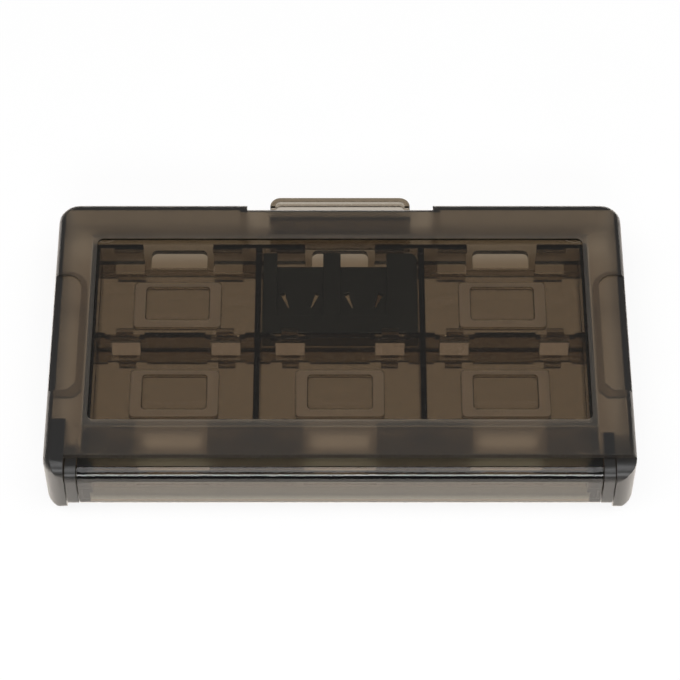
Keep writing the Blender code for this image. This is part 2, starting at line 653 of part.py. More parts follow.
def main():
    """Builds the whole case."""
    clear_scene()
    parts = new_collection(PARTS)
    cutters = new_collection(CUTTERS)
    frosted = make_material("smoke_frosted", (0.10, 0.08, 0.06), 0.45, 0.75)
    lower_frosted = make_material("smoke_frosted_lower", (0.10, 0.08, 0.06), 0.45, 0.75)
    polished = make_material("smoke_window", (0.09, 0.07, 0.05), 0.05, 0.55)
    lower_polished = make_material("smoke_window_lower", (0.09, 0.07, 0.05), 0.05, 0.55)
    glossy = make_material("smoke_tray", (0.12, 0.09, 0.07), 0.08, 0.65)
    black = make_material("black_plastic", (0.013, 0.014, 0.011), 0.35)
    pin_left = make_material("pin_plastic_left", (0.06, 0.05, 0.04), 0.30)
    pin_right = make_material("pin_plastic_right", (0.06, 0.05, 0.04), 0.30)

    top_hinge = hinge_empty("top_cover_hinge", parts)
    tray_hinge = hinge_empty("tray_hinge", parts)
    bottom_hinge = hinge_empty("bottom_cover_hinge", parts, turned=True)
    build_cover("top_cover", top_hinge, parts, cutters, LOW_EAR_REACH, NESTED_EAR_REACH + SWING_GAP, frosted)
    build_window("top_window", top_hinge, parts, polished)
    build_cover("bottom_cover", bottom_hinge, parts, cutters, NESTED_EAR_REACH, EAR_SWING + SWING_GAP,
                lower_frosted)
    build_window("bottom_window", bottom_hinge, parts, lower_polished)
    build_tray(tray_hinge, parts, cutters, glossy)
    build_adapter(tray_hinge, parts, cutters, black)
    build_pin("hinge_pin_left", -1, tray_hinge, parts, pin_left)
    build_pin("hinge_pin_right", 1, tray_hinge, parts, pin_right)
    hide_cutters(cutters)


main()
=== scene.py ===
"""The looks of a smoke-tinted memory card case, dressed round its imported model.

Lengths are in metres in the frame of the model: X along the hinge, Y towards the finger tab, Z up.
"""

import logging
import math
from dataclasses import dataclass
from enum import Enum
from typing import Any

import bmesh
import bpy
from mathutils import Euler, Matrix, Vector


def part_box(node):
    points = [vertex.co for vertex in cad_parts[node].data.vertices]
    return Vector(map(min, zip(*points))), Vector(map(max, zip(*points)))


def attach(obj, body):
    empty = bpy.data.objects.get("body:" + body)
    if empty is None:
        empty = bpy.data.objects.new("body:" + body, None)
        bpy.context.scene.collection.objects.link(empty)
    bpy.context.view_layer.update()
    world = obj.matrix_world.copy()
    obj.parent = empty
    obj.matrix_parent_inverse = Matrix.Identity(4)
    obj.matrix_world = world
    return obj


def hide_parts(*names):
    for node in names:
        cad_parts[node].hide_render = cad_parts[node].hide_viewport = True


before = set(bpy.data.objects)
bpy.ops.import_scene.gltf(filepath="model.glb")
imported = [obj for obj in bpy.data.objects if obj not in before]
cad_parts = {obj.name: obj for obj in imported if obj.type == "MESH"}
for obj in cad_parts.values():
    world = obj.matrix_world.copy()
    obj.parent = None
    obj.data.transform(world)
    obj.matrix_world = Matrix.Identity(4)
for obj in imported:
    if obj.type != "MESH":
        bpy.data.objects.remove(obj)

LOG = logging.getLogger("card_case")
Colour = tuple[float, float, float]
Point = tuple[float, float, float]

# Two places closer than this are one.
SAME_PLACE = 0.000001
# What a size of a Geometry Nodes tree is until its value is given.
UNSET_SIZE = 0.001
# The most that the strongest channel of an absorption colour takes away.
DENSEST_SHARE = 0.98
# Turns a tint per millimetre into one per metre.
PER_MM = 1000.0
# Half-way between an upright and a level face.
HALF_LEVEL = 0.5
# The sizes of the skin's patterns, as the noise's scale.
WAVE_SCALE = 55.0
RUB_SCALE = 210.0
# How far rubbing lightens and darkens a plastic, and its middle shade.
RUB_SHADE = 0.04
MIDDLE_SHADE = 0.99


class Polish(Enum):
    """How smooth the mould leaves a surface, as a roughness."""

    MIRROR = 0.02
    GLOSS = 0.05
    DULL = 0.15
    FROST = 0.33
    SATIN = 0.36
    ETCHED = 0.45


class Wiring:
    """Adds nodes to one tree and links them."""

    def __init__(self, tree: bpy.types.NodeTree) -> None:
        """Keeps the tree that the nodes go to.

        Args:
            tree: The tree.
        """
        self.tree = tree

    def add(self, kind: str, inputs: dict[str | int, Any] | None = None, **settings: Any) -> bpy.types.Node:
        """Adds one node.

        Args:
            kind: The node's type name.
            inputs: Input values by socket name or number. A socket is linked, a value is set.
            settings: Attributes of the node itself.

        Returns:
            The new node.
        """
        node = self.tree.nodes.new(kind)
        for name, value in settings.items():
            setattr(node, name, value)
        for key, value in (inputs or {}).items():
            if isinstance(value, bpy.types.NodeSocket):
                self.tree.links.new(value, node.inputs[key])
            else:
                node.inputs[key].default_value = value
        return node

    def math(self, operation: str, *values: Any) -> bpy.types.NodeSocket:
        """Adds one Math node and gives its result.

        Args:
            operation: The Math node's operation.
            values: Its inputs in order, each a socket or a number.

        Returns:
            The socket that holds the result.
        """
        return self.add("ShaderNodeMath", dict(enumerate(values)), operation=operation).outputs[0]

    def vector(self, operation: str, *values: Any) -> bpy.types.Node:
        """Adds one Vector Math node.

        Args:
            operation: The Vector Math node's operation.
            values: Its inputs in order, each a socket or a vector.

        Returns:
            The node, because some of its results are vectors and some are numbers.
        """
        return self.add("ShaderNodeVectorMath", dict(enumerate(values)), operation=operation)

    def blend(self, share: Any, first: Any, second: Any, how: str = "MIX") -> bpy.types.NodeSocket:
        """Adds one colour mix.

        Args:
            share: How much of the second colour there is, a socket or a number.
            first: The first colour, a socket or a value with alpha.
            second: The second colour, a socket or a value with alpha.
            how: The Mix node's blend type.

        Returns:
            The socket that holds the colour.
        """
        node = self.add("ShaderNodeMix", data_type="RGBA", blend_type=how)
        for socket, value in (("Factor", share), ("A", first), ("B", second)):
            if isinstance(value, bpy.types.NodeSocket):
                self.tree.links.new(value, node.inputs[socket])
            else:
                node.inputs[socket].default_value = value
        return node.outputs["Result"]

    def beyond_box(self, place: Any, centre: Point, half: Point) -> tuple[bpy.types.NodeSocket, ...]:
        """Wires how far a place lies outside a box.

        Args:
            place: The place, a socket.
            centre: The middle of the box.
            half: Half the size of the box.

        Returns:
            The distance from the box, 0 inside it, and how far away the middle is along each axis.
        """
        away = self.vector("ABSOLUTE", self.vector("SUBTRACT", place, centre).outputs[0]).outputs[0]
        beyond = self.vector("SUBTRACT", away, half).outputs[0]
        outside = self.vector("MAXIMUM", beyond, (0.0, 0.0, 0.0)).outputs[0]
        return self.vector("LENGTH", outside).outputs["Value"], away

    def joined(self, *parts: bpy.types.NodeSocket) -> bpy.types.NodeSocket:
        """Joins geometry.

        Args:
            parts: The geometry sockets, in order.

        Returns:
            The socket that holds them all.
        """
        node = self.add("GeometryNodeJoinGeometry")
        for part in reversed(parts):
            self.tree.links.new(part, node.inputs[0])
        return node.outputs[0]

    def moved(self, geometry: bpy.types.NodeSocket, along: Any = 0.0, up: Any = 0.0) -> bpy.types.NodeSocket:
        """Moves geometry.

        Args:
            geometry: The socket that holds it.
            along: How far it goes along Y, a socket or a number.
            up: How far it goes along Z, a socket or a number.

        Returns:
            The socket that holds the moved geometry.
        """
        way = self.add("ShaderNodeCombineXYZ", {"X": 0.0, "Y": along, "Z": up}).outputs[0]
        return self.add("GeometryNodeTransform", {"Geometry": geometry, "Translation": way}).outputs[0]


def socket_group(name: str, kind: str, inputs: list[tuple], outputs: list[tuple]) -> bpy.types.NodeTree:
    """Makes an empty node group with named sockets.

    Args:
        name: The group's name.
        kind: Its tree type.
        inputs: Name, socket type and default value of each input.
        outputs: Name and socket type of each output.

    Returns:
        The new group.
    """
    group = bpy.data.node_groups.new(name, kind)
    for label, socket_type, default in inputs:
        socket = group.interface.new_socket(label, in_out="INPUT", socket_type=socket_type)
        if default is not None:
            socket.default_value = default
    for label, socket_type in outputs:
        group.interface.new_socket(label, in_out="OUTPUT", socket_type=socket_type)
    return group


def grown_group(name: str, sizes: tuple[str, ...]) -> bpy.types.NodeTree:
    """Makes an empty Geometry Nodes group that takes sizes and a material.

    Args:
        name: The group's name.
        sizes: The names of its sizes.

    Returns:
        The new group, which gives geometry.
    """
    inputs = [(label, "NodeSocketFloat", UNSET_SIZE) for label in sizes]
    inputs.append(("Material", "NodeSocketMaterial", None))
    return socket_group(name, "GeometryNodeTree", inputs, [("Geometry", "NodeSocketGeometry")])


def empty_material(name: str) -> tuple[bpy.types.Material, Wiring]:
    """Makes a material with no nodes.

    Args:
        name: The material's name.

    Returns:
        The material and the wiring of its tree.
    """
    material = bpy.data.materials.new(name)
    material.use_nodes = True
    material.node_tree.nodes.clear()
    return material, Wiring(material.node_tree)


def moulded_skin_group() -> bpy.types.NodeTree:
    """Builds the skin that every moulding has: fine grain, slow waves and faint handling marks.

    Returns:
        A shader group that gives a height, a roughness and a shade.
    """
    group = socket_group(
        "moulded_skin",
        "ShaderNodeTree",
        [
            ("Grain Scale", "NodeSocketFloat", 9000.0),
            ("Grain Depth", "NodeSocketFloat", 0.3),
            ("Wave Depth", "NodeSocketFloat", 0.4),
            ("Roughness", "NodeSocketFloat", 0.2),
            ("Rub", "NodeSocketFloat", 0.05),
        ],
        [("Height", "NodeSocketFloat"), ("Roughness", "NodeSocketFloat"), ("Shade", "NodeSocketFloat")],
    )
    wire = Wiring(group)
    given = wire.add("NodeGroupInput").outputs
    place = wire.add("ShaderNodeTexCoord").outputs["Object"]
    grain = wire.add(
        "ShaderNodeTexNoise",
        {"Vector": place, "Scale": given["Grain Scale"], "Detail": 2.0, "Roughness": 0.55},
    )
    waves = wire.add("ShaderNodeTexNoise", {"Vector": place, "Scale": WAVE_SCALE, "Detail": 1.0})
    rubs = wire.add(
        "ShaderNodeTexNoise", {"Vector": place, "Scale": RUB_SCALE, "Detail": 4.0, "Distortion": 0.6}
    )
    fine = wire.math("MULTIPLY", grain.outputs["Fac"], given["Grain Depth"])
    slow = wire.math("MULTIPLY", waves.outputs["Fac"], given["Wave Depth"])
    rubbed = wire.math("SUBTRACT", rubs.outputs["Fac"], 0.5)
    rough = wire.math("MULTIPLY_ADD", rubbed, given["Rub"], given["Roughness"])
    shade = wire.math("MULTIPLY_ADD", rubbed, RUB_SHADE, MIDDLE_SHADE)
    wire.add(
        "NodeGroupOutput",
        {
            "Height": wire.math("ADD", fine, slow),
            "Roughness": wire.math("MAXIMUM", rough, 0.0),
            "Shade": shade,
        },
    )
    return group


class Lean(Enum):
    """Which way a face lies, as the Math operation that compares its upward share with a half."""

    UPRIGHT = "LESS_THAN"
    LEVEL = "GREATER_THAN"


@dataclass(frozen=True)
class MarkedFaces:
    """Faces with a polish and tint set apart from the rest, picked by where they lie, on both sides of
    mid-height. On the walls of the window openings the tint is painted shade.
    """

    half_width: float
    front: float
    rear: float
    lowest: float
    highest: float
    lean: Lean
    tint: Colour
    polish: Polish = Polish.GLOSS
    margin: float = 0.0001
    mid_height: float = 0.0090

    def wire(self, wire: Wiring, dressed: dict[str, Any]) -> dict[str, Any]:
        """Wires the faces' polish and tint over a skin. On the window openings' walls the tint is painted
        shade.

        Args:
            wire: The material's wiring.
            dressed: What the skin gives the Principled shader.

        Returns:
            The same inputs, with the faces' tint and polish where they lie.
        """
        given = wire.add("ShaderNodeTexCoord").outputs
        centre = (0.0, (self.front + self.rear) / 2.0, self.mid_height)
        half = (self.half_width + self.margin, (self.rear - self.front) / 2.0 + self.margin, self.highest)
        distance, away = wire.beyond_box(given["Object"], centre, half)
        inside = wire.math("LESS_THAN", distance, SAME_PLACE)
        height = wire.add("ShaderNodeSeparateXYZ", {"Vector": away}).outputs["Z"]
        raised = wire.math("GREATER_THAN", height, self.lowest)
        upward = wire.add("ShaderNodeSeparateXYZ", {"Vector": given["Normal"]}).outputs["Z"]
        leaning = wire.math(self.lean.value, wire.math("ABSOLUTE", upward), HALF_LEVEL)
        share = wire.math("MULTIPLY", wire.math("MULTIPLY", inside, raised), leaning)
        rough = wire.add("ShaderNodeMix", {0: share, 2: dressed["Roughness"], 3: self.polish.value})
        return dressed | {
            "Base Color": wire.blend(share, dressed["Base Color"], (*self.tint, 1.0)),
            "Roughness": rough.outputs[0],
        }


@dataclass(frozen=True)
class Skin:
    """The mould's finish on one plastic: its polish, its grain and its wear."""

    polish: Polish
    grain_scale: float
    grain_depth: float
    wave_depth: float
    bump: float
    rub: float
    relief: float = 0.00005

    def wire(self, wire: Wiring, group: bpy.types.NodeTree, colour: Colour) -> dict[str, Any]:
        """Wires the skin into a material.

        Args:
            wire: The material's wiring.
            group: The moulded skin group.
            colour: The plastic's own colour.

        Returns:
            What the Principled shader takes for its colour, roughness and normal.
        """
        surface = wire.add("ShaderNodeGroup", node_tree=group)
        for label, value in (
            ("Grain Scale", self.grain_scale),
            ("Grain Depth", self.grain_depth),
            ("Wave Depth", self.wave_depth),
            ("Roughness", self.polish.value),
            ("Rub", self.rub),
        ):
            surface.inputs[label].default_value = value
        bump = wire.add(
            "ShaderNodeBump",
            {"Strength": self.bump, "Distance": self.relief, "Height": surface.outputs["Height"]},
        )
        return {
            "Base Color": wire.blend(1.0, (*colour, 1.0), surface.outputs["Shade"], "MULTIPLY"),
            "Roughness": surface.outputs["Roughness"],
            "Normal": bump.outputs["Normal"],
        }


@dataclass(frozen=True)
class SmokePlastic:
    """A see-through smoke plastic: its tint grows with the thickness that light crosses."""

    name: str
    skin: Skin
    absorb_per_mm: Colour
    haze: float = 0.0
    haze_colour: Colour = (1.0, 1.0, 1.0)
    ior: float = 1.55
    marked: tuple[MarkedFaces, ...] = ()

    def build(self, group: bpy.types.NodeTree) -> bpy.types.Material:
        """Makes the material.

        Args:
            group: The moulded skin group.

        Returns:
            A material with the finish's own values.
        """
        material, wire = empty_material(self.name)
        dressed = self.skin.wire(wire, group, self.haze_colour)
        for faces in self.marked:
            dressed = faces.wire(wire, dressed)
        plastic = wire.add(
            "ShaderNodeBsdfPrincipled", dressed | {"IOR": self.ior, "Transmission Weight": 1.0 - self.haze}
        )
        light = wire.add("ShaderNodeLightPath")
        clear = wire.add("ShaderNodeBsdfTransparent", {"Color": (1.0, 1.0, 1.0, 1.0)})
        mixed = wire.add(
            "ShaderNodeMixShader",
            {0: light.outputs["Is Shadow Ray"], 1: plastic.outputs[0], 2: clear.outputs[0]},
        )
        densest = max(self.absorb_per_mm)
        kept = [1.0 - DENSEST_SHARE * share / densest for share in self.absorb_per_mm]
        absorb = wire.add(
            "ShaderNodeVolumeAbsorption",
            {"Color": (*kept, 1.0), "Density": PER_MM * densest / DENSEST_SHARE},
        )
        wire.add("ShaderNodeOutputMaterial", {"Surface": mixed.outputs[0], "Volume": absorb.outputs[0]})
        return material


@dataclass(frozen=True)
class BlackPlastic:
    """An opaque satin plastic with a fine spark-eroded skin."""

    name: str
    skin: Skin
    colour: Colour
    ior: float = 1.5

    def build(self, group: bpy.types.NodeTree) -> bpy.types.Material:
        """Makes the material.

        Args:
            group: The moulded skin group.

        Returns:
            A material with the finish's own values.
        """
        material, wire = empty_material(self.name)
        plastic = wire.add(
            "ShaderNodeBsdfPrincipled", self.skin.wire(wire, group, self.colour) | {"IOR": self.ior}
        )
        wire.add("ShaderNodeOutputMaterial", {"Surface": plastic.outputs[0]})
        return material


@dataclass
class Finishes:
    """Every finish of the case, made once."""

    smoke: Colour = (0.52, 0.60, 0.72)
    frosted_smoke: Colour = (0.545, 0.625, 0.748)
    pin: Colour = (0.9, 1.0, 1.1)
    black: Colour = (0.006, 0.0065, 0.005)
    # Painted shade: the upright walls round each window opening in the covers get a dark tint that stands for
    # the shadow in the gap and step there. Their gloss is their own polish.
    opening_edge_painted_shade: MarkedFaces = MarkedFaces(
        half_width=0.0600,
        front=-0.0283,
        rear=0.0247,
        lowest=0.0082,
        highest=0.0091,
        lean=Lean.UPRIGHT,
        tint=(0.10, 0.09, 0.075),
    )
    pocket_floor: MarkedFaces = MarkedFaces(
        half_width=0.0660,
        front=-0.0360,
        rear=0.0360,
        lowest=-0.0010,
        highest=0.0004,
        lean=Lean.LEVEL,
        tint=(0.745, 0.69, 0.65),
    )
    spine_flat: MarkedFaces = MarkedFaces(
        half_width=0.0660,
        front=-0.0399,
        rear=-0.0370,
        lowest=0.0066,
        highest=0.0075,
        lean=Lean.LEVEL,
        tint=(0.72, 0.97, 1.0),
        polish=Polish.FROST,
    )

    def build(self) -> dict[str, bpy.types.Material]:
        """Makes the materials.

        Returns:
            Each material under a short name.
        """
        group = moulded_skin_group()
        finishes = {
            "frosted": SmokePlastic(
                name="frosted_smoke",
                skin=Skin(
                    Polish.FROST, grain_scale=9000.0, grain_depth=0.3, wave_depth=0.2, bump=0.06, rub=0.04
                ),
                absorb_per_mm=self.frosted_smoke,
                haze=0.018,
                haze_colour=(1.0, 0.97, 0.93),
                marked=(self.opening_edge_painted_shade,),
            ),
            "window": SmokePlastic(
                name="clear_smoke",
                skin=Skin(
                    Polish.MIRROR, grain_scale=9000.0, grain_depth=0.0, wave_depth=0.3, bump=0.04, rub=0.01
                ),
                absorb_per_mm=self.smoke,
            ),
            "tray": SmokePlastic(
                name="tray_smoke",
                skin=Skin(
                    Polish.GLOSS, grain_scale=9000.0, grain_depth=0.03, wave_depth=0.3, bump=0.03, rub=0.02
                ),
                absorb_per_mm=self.smoke,
                marked=(self.pocket_floor, self.spine_flat),
            ),
            "etched": SmokePlastic(
                name="etched_smoke",
                skin=Skin(
                    Polish.ETCHED, grain_scale=7000.0, grain_depth=0.5, wave_depth=0.2, bump=0.2, rub=0.05
                ),
                absorb_per_mm=self.smoke,
                haze=0.056,
                haze_colour=(1.0, 0.90, 0.77),
            ),
            # Painted shade: a dark brown tint for the thin lines that stand for the shadowed side walls of
            # the label panels' rims.
            "line": SmokePlastic(
                name="edge_shade_smoke",
                skin=Skin(
                    Polish.DULL, grain_scale=7000.0, grain_depth=0.1, wave_depth=0.2, bump=0.1, rub=0.03
                ),
                absorb_per_mm=self.smoke,
                haze_colour=(0.55, 0.50, 0.44),
            ),
            "pin": SmokePlastic(
                name="pin_plastic",
                skin=Skin(
                    Polish.DULL, grain_scale=7000.0, grain_depth=0.1, wave_depth=0.2, bump=0.1, rub=0.05
                ),
                absorb_per_mm=self.pin,
                haze=0.3,
                haze_colour=(0.10, 0.085, 0.07),
            ),
            "black": BlackPlastic(
                name="black_plastic",
                skin=Skin(
                    Polish.SATIN, grain_scale=6000.0, grain_depth=0.5, wave_depth=0.2, bump=0.25, rub=0.12
                ),
                colour=self.black,
            ),
        }
        return {name: finish.build(group) for name, finish in finishes.items()}


@dataclass
class SoftenedPart:
    """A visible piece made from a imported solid: merged, its flats cleaned, and its edges broken."""

    node: str
    body: str
    slot: str
    edge: float
    steps: int = 2
    merge: float = 0.000002
    flat_degrees: float = 0.4
    sharp_degrees: float = 28.0
    flat_weight: int = 50

    def build(self, material: bpy.types.Material) -> bpy.types.Object:
        """Makes the piece and lets it stand for its solid.

        Args:
            material: The finish of the whole piece.

        Returns:
            The new piece.
        """
        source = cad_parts[self.node]
        shape = bmesh.new()
        shape.from_mesh(source.data)
        bmesh.ops.remove_doubles(shape, verts=shape.verts, dist=self.merge)
        bmesh.ops.dissolve_limit(
            shape, angle_limit=math.radians(self.flat_degrees), verts=shape.verts, edges=shape.edges
        )
        mesh = bpy.data.meshes.new(self.node + "_skin")
        shape.to_mesh(mesh)
        shape.free()
        mesh.materials.append(material)
        piece = bpy.data.objects.new(self.node + "_skin", mesh)
        bpy.context.scene.collection.objects.link(piece)
        mesh.shade_smooth()
        mesh.set_sharp_from_angle(angle=math.radians(self.sharp_degrees))
        if self.edge:
            rounding = piece.modifiers.new("broken_edges", "BEVEL")
            rounding.width = self.edge
            rounding.segments = self.steps
            rounding.limit_method = "ANGLE"
            rounding.angle_limit = math.radians(self.sharp_degrees)
            weighed = piece.modifiers.new("flat_flats", "WEIGHTED_NORMAL")
            weighed.mode = "FACE_AREA"
            weighed.weight = self.flat_weight
            weighed.keep_sharp = True
        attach(piece, self.body)
        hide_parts(self.node)
        LOG.info("%s stands for %s on %s", piece.name, self.node, self.body)
        return piece


def run_tree(name: str, tree: bpy.types.NodeTree, values: dict[str, Any]) -> bpy.types.Object:
    """Runs a Geometry Nodes tree once and keeps its result as a plain mesh.

    Args:
        name: The name of the new piece.
        tree: The tree to run.
        values: Its inputs by name.

    Returns:
        An object with the finished mesh and no modifier.
    """
    holder = bpy.data.objects.new(name + "_source", bpy.data.meshes.new(name + "_source"))
    bpy.context.scene.collection.objects.link(holder)
    grown = holder.modifiers.new("grown", "NODES")
    grown.node_group = tree
    sockets = {item.name: item.identifier for item in tree.interface.items_tree if item.in_out == "INPUT"}
    for label, value in values.items():
        grown[sockets[label]] = value
    depsgraph = bpy.context.evaluated_depsgraph_get()
    mesh = bpy.data.meshes.new_from_object(holder.evaluated_get(depsgraph), depsgraph=depsgraph)
    mesh.name = name
    bpy.data.objects.remove(holder, do_unlink=True)
    piece = bpy.data.objects.new(name, mesh)
    bpy.context.scene.collection.objects.link(piece)
    return piece


@dataclass
class LabelPanels:
    """One closed rim on the floor of every cell, upper and lower face in one tree."""

    name: str = "label_panels"
    width: float = 0.0214
    length: float = 0.0134
    inner_width: float = 0.0159
    inner_length: float = 0.0101
    inner_shift: float = 0.0004
    corner: float = 0.0010
    corner_steps: int = 4
    thickness: float = 0.00012
    air: float = 0.00003
    columns: int = 3
    rows: int = 2
    column_pitch: float = 0.0401
    row_pitch: float = 0.0260
    row_middle: float = -0.0029
    mid_height: float = 0.0090
    floor: float = 0.0015

    def tree(self) -> bpy.types.NodeTree:
        """Builds the tree that sets one rim on each cell of a grid.

        Returns:
            A Geometry Nodes tree with named sizes.
        """
        sizes = (
            "Width",
            "Length",
            "Inner Width",
            "Inner Length",
            "Inner Shift",
            "Corner",
            "Thickness",
            "Column Pitch",
            "Row Pitch",
            "Row Middle",
            "Height",
            "Mid Height",
        )
        group = grown_group("label_panels", sizes)
        wire = Wiring(group)
        given = wire.add("NodeGroupInput").outputs
        rims = []
        for across, along in (("Width", "Length"), ("Inner Width", "Inner Length")):
            sheet = wire.add(
                "GeometryNodeCurvePrimitiveQuadrilateral", {"Width": given[across], "Height": given[along]}
            )
            rounded = wire.add(
                "GeometryNodeFilletCurve",
                {"Curve": sheet.outputs[0], "Radius": given["Corner"], "Count": self.corner_steps},
                mode="POLY",
            )
            rims.append(rounded.outputs[0])
        rims[1] = wire.moved(rims[1], along=given["Inner Shift"])
        flat = wire.add("GeometryNodeFillCurve", {"Curve": wire.joined(*rims)}, mode="NGONS")
        raised = wire.add(
            "GeometryNodeExtrudeMesh",
            {"Mesh": flat.outputs[0], "Offset Scale": given["Thickness"], "Individual": False},
        )
        under = wire.add("GeometryNodeFlipFaces", {"Mesh": flat.outputs[0]})
        closed = wire.joined(raised.outputs["Mesh"], under.outputs[0])
        rim_mesh = wire.add("GeometryNodeMergeByDistance", {"Geometry": closed, "Distance": SAME_PLACE})
        across = wire.math("MULTIPLY", given["Column Pitch"], self.columns - 1.0)
        along = wire.math("MULTIPLY", given["Row Pitch"], self.rows - 1.0)
        cells = wire.add(
            "GeometryNodeMeshGrid",
            {"Size X": across, "Size Y": along, "Vertices X": self.columns, "Vertices Y": self.rows},
        )
        spread = wire.add(
            "GeometryNodeInstanceOnPoints", {"Points": cells.outputs["Mesh"], "Instance": rim_mesh.outputs[0]}
        )
        upper = wire.moved(spread.outputs[0], along=given["Row Middle"], up=given["Height"])
        turned = wire.add(
            "GeometryNodeTransform", {"Geometry": upper, "Rotation": Euler((0.0, math.pi, 0.0))}
        )
        placed = wire.moved(wire.joined(upper, turned.outputs[0]), up=given["Mid Height"])
        real = wire.add("GeometryNodeRealizeInstances", {"Geometry": placed})
        dressed = wire.add(
            "GeometryNodeSetMaterial", {"Geometry": real.outputs[0], "Material": given["Material"]}
        )
        wire.add("NodeGroupOutput", {"Geometry": dressed.outputs[0]})
        return group

    def build(self, material: bpy.types.Material) -> bpy.types.Object:
        """Grows the panels and fixes them to the tray.

        Args:
            material: The etched finish.

        Returns:
            The piece with every panel.
        """
        piece = run_tree(
            self.name,
            self.tree(),
            {
                "Width": self.width,
                "Length": self.length,
                "Inner Width": self.inner_width,
                "Inner Length": self.inner_length,
                "Inner Shift": self.inner_shift,
                "Corner": self.corner,
                "Thickness": self.thickness,
                "Column Pitch": self.column_pitch,
                "Row Pitch": self.row_pitch,
                "Row Middle": self.row_middle,
                "Height": self.floor / 2 + self.air,
                "Mid Height": self.mid_height,
                "Material": material,
            },
        )
        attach(piece, "tray")
        LOG.info("%s grown with %d faces", piece.name, len(piece.data.polygons))
        return piece


@dataclass
class LabelShadeLines:
    """Two thin dark tinted lines that edge every label panel, outside and inside its rim: painted shade of
    the rim's side walls.
    """

    panels: LabelPanels
    line: float = 0.00026
    thickness: float = 0.00014

    def build(self, material: bpy.types.Material) -> list[bpy.types.Object]:
        """Grows the lines and fixes them to the tray.

        Args:
            material: The dark tint of the lines, which is painted shade.

        Returns:
            The outer and the inner lines, as two pieces.
        """
        rim = self.panels
        edges = [
            ("label_outer_shade_lines", rim.width + self.line, rim.length + self.line, rim.row_middle),
            ("label_inner_shade_lines", rim.inner_width, rim.inner_length, rim.row_middle + rim.inner_shift),
        ]
        pieces = []
        for name, width, length, row_middle in edges:
            lines = LabelPanels(
                name=name,
                width=width,
                length=length,
                inner_width=width - 2.0 * self.line,
                inner_length=length - 2.0 * self.line,
                inner_shift=0.0,
                thickness=self.thickness,
                row_middle=row_middle,
            )
            pieces.append(lines.build(material))
        return pieces


@dataclass
class EjectorRings:
    """The faint rings that ejector pins leave inside a cover, near its four corners."""

    name: str
    body: str
    face: int
    radius: float = 0.0039
    steps: int = 64
    wire_radius: float = 0.00014
    wire_steps: int = 8
    half_span: float = 0.0583
    rear: float = 0.0284
    front: float = -0.0335
    underside: float = 0.0076
    air: float = 0.00002
    mid_height: float = 0.0090

    def tree(self) -> bpy.types.NodeTree:
        """Builds the tree that sets one thin ring at each corner of a grid.

        Returns:
            A Geometry Nodes tree with named sizes.
        """
        sizes = ("Radius", "Wire Radius", "Span X", "Span Y", "Middle Y", "Height")
        group = grown_group("ejector_rings", sizes)
        wire = Wiring(group)
        given = wire.add("NodeGroupInput").outputs
        loop = wire.add(
            "GeometryNodeCurvePrimitiveCircle", {"Resolution": self.steps, "Radius": given["Radius"]}
        )
        section = wire.add(
            "GeometryNodeCurvePrimitiveCircle",
            {"Resolution": self.wire_steps, "Radius": given["Wire Radius"]},
        )
        ring = wire.add(
            "GeometryNodeCurveToMesh", {"Curve": loop.outputs[0], "Profile Curve": section.outputs[0]}
        )
        corners = wire.add(
            "GeometryNodeMeshGrid",
            {"Size X": given["Span X"], "Size Y": given["Span Y"], "Vertices X": 2, "Vertices Y": 2},
        )
        spread = wire.add(
            "GeometryNodeInstanceOnPoints", {"Points": corners.outputs["Mesh"], "Instance": ring.outputs[0]}
        )
        placed = wire.moved(spread.outputs[0], along=given["Middle Y"], up=given["Height"])
        real = wire.add("GeometryNodeRealizeInstances", {"Geometry": placed})
        smooth = wire.add("GeometryNodeSetShadeSmooth", {"Geometry": real.outputs[0]})
        dressed = wire.add(
            "GeometryNodeSetMaterial", {"Geometry": smooth.outputs[0], "Material": given["Material"]}
        )
        wire.add("NodeGroupOutput", {"Geometry": dressed.outputs[0]})
        return group

    def build(self, material: bpy.types.Material) -> bpy.types.Object:
        """Grows the rings and fixes them to their cover.

        Args:
            material: The finish of the cover.

        Returns:
            The piece with the four rings.
        """
        rise = self.underside - self.air - self.wire_radius
        piece = run_tree(
            self.name,
            self.tree(),
            {
                "Radius": self.radius,
                "Wire Radius": self.wire_radius,
                "Span X": 2.0 * self.half_span,
                "Span Y": self.rear - self.front,
                "Middle Y": (self.rear + self.front) / 2.0,
                "Height": self.mid_height + self.face * rise,
                "Material": material,
            },
        )
        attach(piece, self.body)
        LOG.info("%s grown with %d faces", piece.name, len(piece.data.polygons))
        return piece


@dataclass(frozen=True)
class Lamp:
    """One soft rectangular lamp: where it hangs, the point it faces, its size and its power."""

    name: str
    spot: Point
    aim: Point
    size: tuple[float, float]
    watts: float

    def build(self) -> bpy.types.Object:
        """Hangs the lamp.

        Returns:
            The lamp.
        """
        light = bpy.data.lights.new(self.name, "AREA")
        light.shape = "RECTANGLE"
        light.size, light.size_y = self.size
        light.energy = self.watts
        lamp = bpy.data.objects.new(self.name, light)
        lamp.location = self.spot
        facing = Vector(self.aim) - Vector(self.spot)
        lamp.rotation_euler = facing.to_track_quat("-Z", "Y").to_euler()
        bpy.context.scene.collection.objects.link(lamp)
        return lamp


